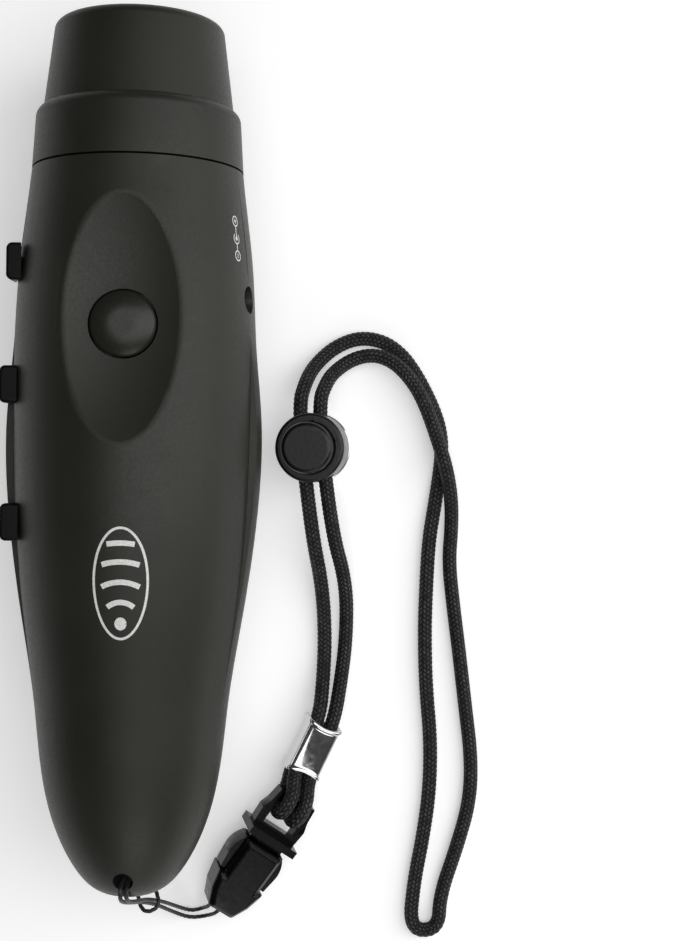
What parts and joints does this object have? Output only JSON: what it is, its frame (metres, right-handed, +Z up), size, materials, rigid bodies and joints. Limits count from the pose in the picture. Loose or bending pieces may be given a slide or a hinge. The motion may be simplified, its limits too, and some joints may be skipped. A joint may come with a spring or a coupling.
{
  "type": "training whistle",
  "caption": "Electronic training whistle with a thumb button, side slide switches, a charging jack and a wrist lanyard with quick-release buckle and cord lock.",
  "frame": {"origin": "middle of the flat on the whistle's back, under its long axis", "axes": "+Z up through the thumb button, +Y along the whistle to its mouth, +X to the side with the charging jack"},
  "size_m": [0.0716, 0.1393, 0.0358],
  "materials": {
    "casing": "soft-touch matt",
    "button": "soft-touch matt",
    "knob": "satin",
    "grille": "matt",
    "horn": "matt",
    "foam": "soft",
    "diaphragm": "satin",
    "steel": "nickel plated",
    "board": "solder mask",
    "chip": "moulded",
    "jack": "moulded",
    "battery": "shrink sleeve",
    "wire": "insulated",
    "thread": "twisted cord",
    "buckle": "acetal",
    "ferrule": "polished",
    "braid": "braided",
    "lock": "satin",
    "lock_ring": "polished"
  },
  "bodies": {
    "whistle": {"front_casing": "casing", "rear_casing": "casing", "collar_ring": "casing", "mouthpiece": "casing", "speaker_grille": "grille", "dc_jack": "jack", "speaker_gasket": "foam", "speaker_frame": "steel", "speaker_diaphragm": "diaphragm", "speaker_magnet": "steel", "circuit_board": "board", "board_screws": "steel", "driver_chip": "chip", "boost_coil": "chip", "tact_switch": "chip", "snap_dome": "steel", "power_switch": "steel", "volume_switch": "steel", "tone_switch": "steel", "dc_jack_pin": "steel", "battery_cell": "battery", "battery_pad": "foam", "battery_leads": "wire", "speaker_leads": "wire", "casing_screws": "steel", "horn": "horn", "tail_loop": "thread", "buckle_housing": "buckle"},
    "main_button": {"main_button": "button", "tact_plunger": "knob"},
    "power_knob": {"power_knob": "knob"},
    "volume_knob": {"volume_knob": "knob"},
    "tone_knob": {"tone_knob": "knob"},
    "strap": {"buckle_insert": "buckle", "ferrule": "ferrule", "wrist_cord": "braid"},
    "latch_arm_left": {"latch_arm_left": "buckle"},
    "latch_arm_right": {"latch_arm_right": "buckle"},
    "cord_lock": {"cord_lock_barrel": "lock", "cord_lock_ring": "lock_ring", "cord_lock_spring": "steel"},
    "cord_lock_plunger": {"cord_lock_plunger": "lock"}
  },
  "joints": [
    {"name": "main_button_press", "type": "slide", "parent": "whistle", "child": "main_button", "axis": [0, 0, -1], "range_m": [0, 0.0006], "stiffness_N_per_m": 1500, "springref_m": -0.0004, "deforming": ["snap_dome"]},
    {"name": "power_switch_slide", "type": "slide", "parent": "whistle", "child": "power_knob", "axis": [0, -1, 0], "range_m": [0, 0.0018]},
    {"name": "volume_switch_slide", "type": "slide", "parent": "whistle", "child": "volume_knob", "axis": [0, -1, 0], "range_m": [0, 0.006]},
    {"name": "tone_switch_slide", "type": "slide", "parent": "whistle", "child": "tone_knob", "axis": [0, -1, 0], "range_m": [0, 0.0046]},
    {"name": "buckle_release", "type": "slide", "parent": "whistle", "child": "strap", "axis": [0.5835, 0.8121, 0], "range_m": [0, 0.009]},
    {"name": "latch_arm_left_pinch", "type": "hinge", "parent": "strap", "child": "latch_arm_left", "pos_m": [0.0163, -0.06096, 0.00552], "axis": [0.2374, -0.1706, 0.9563], "range_deg": [0, 8], "stiffness_Nm_per_rad": 0.01},
    {"name": "latch_arm_right_pinch", "type": "hinge", "parent": "strap", "child": "latch_arm_right", "pos_m": [0.02147, -0.06467, 0.00358], "axis": [-0.2374, 0.1706, -0.9563], "range_deg": [0, 8], "stiffness_Nm_per_rad": 0.01},
    {"name": "cord_lock_slide", "type": "slide", "parent": "strap", "child": "cord_lock", "axis": [0.1219, -0.9925, 0], "range_m": [0, 0.005]},
    {"name": "cord_lock_press", "type": "slide", "parent": "cord_lock", "child": "cord_lock_plunger", "axis": [0.121, 0.0149, -0.9925], "range_m": [0, 0.002], "stiffness_N_per_m": 800, "springref_m": -0.001, "deforming": ["cord_lock_spring"]}
  ]
}
